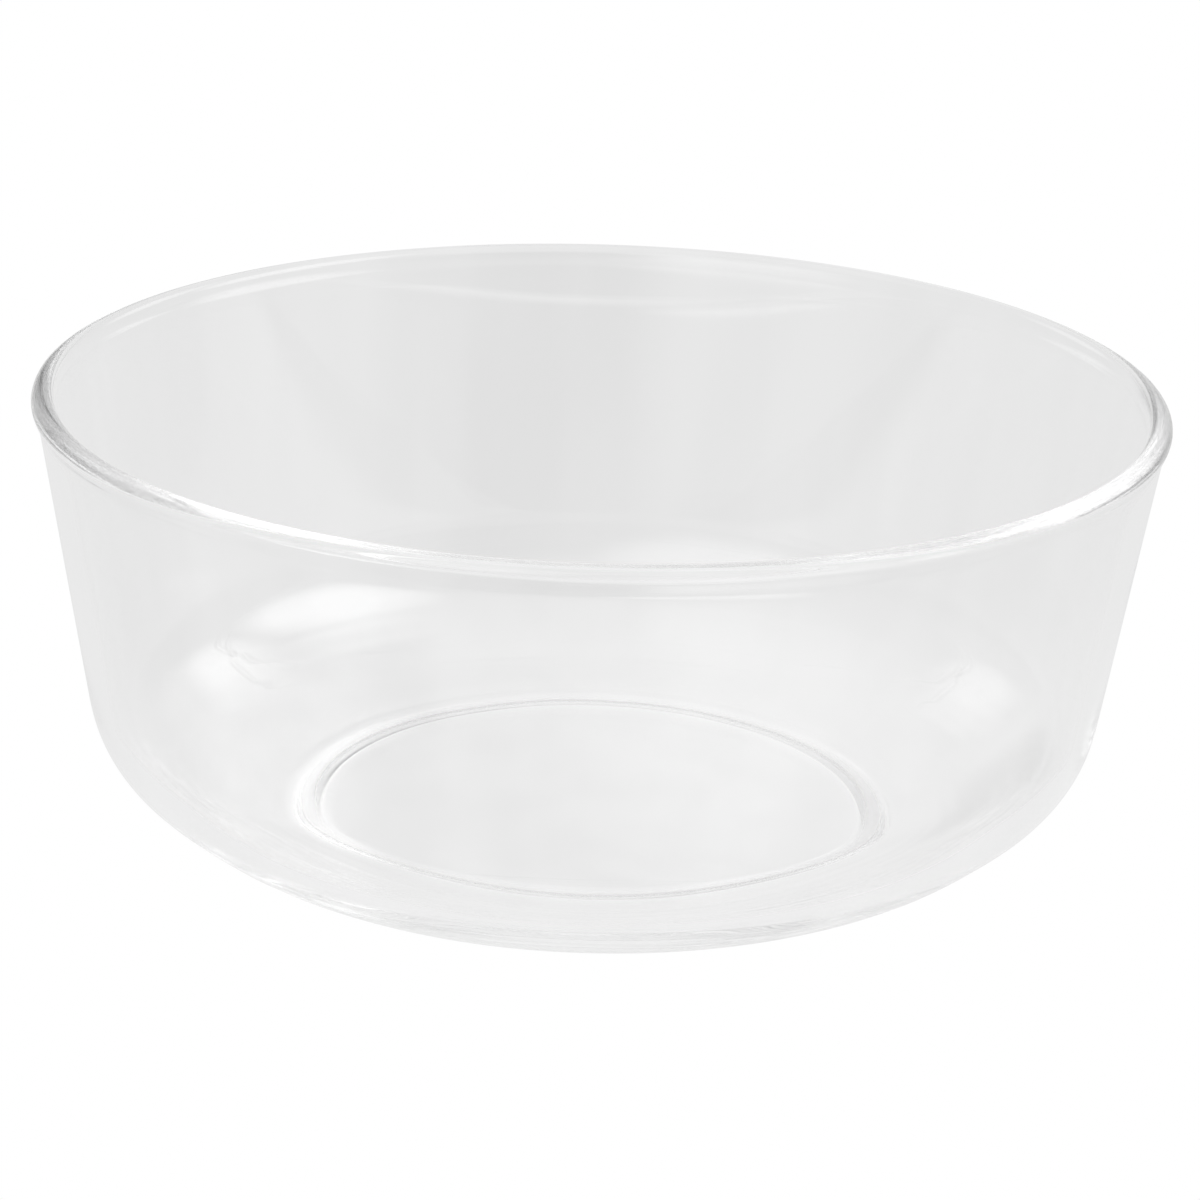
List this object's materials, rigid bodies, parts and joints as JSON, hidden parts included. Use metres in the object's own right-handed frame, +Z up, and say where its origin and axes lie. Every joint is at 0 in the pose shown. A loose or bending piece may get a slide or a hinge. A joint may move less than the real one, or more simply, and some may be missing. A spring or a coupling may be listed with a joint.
{
  "type": "crystallizing dish",
  "caption": "Wide shallow round dish of clear moulded glass with a beaded rim, flared wall, rounded heel, flat floor and low foot ring, for growing crystals from solution.",
  "frame": {"origin": "centre of the foot ring's flat underside, on the bench", "axes": "+Z up along the dish's axis of turning, towards the open rim; X and Y are level and alike"},
  "size_m": [0.19, 0.19, 0.0782],
  "materials": {
    "clear_glass": "clear, fire-polished, gloss"
  },
  "bodies": {
    "root": {"dish": "clear_glass"}
  },
  "joints": []
}
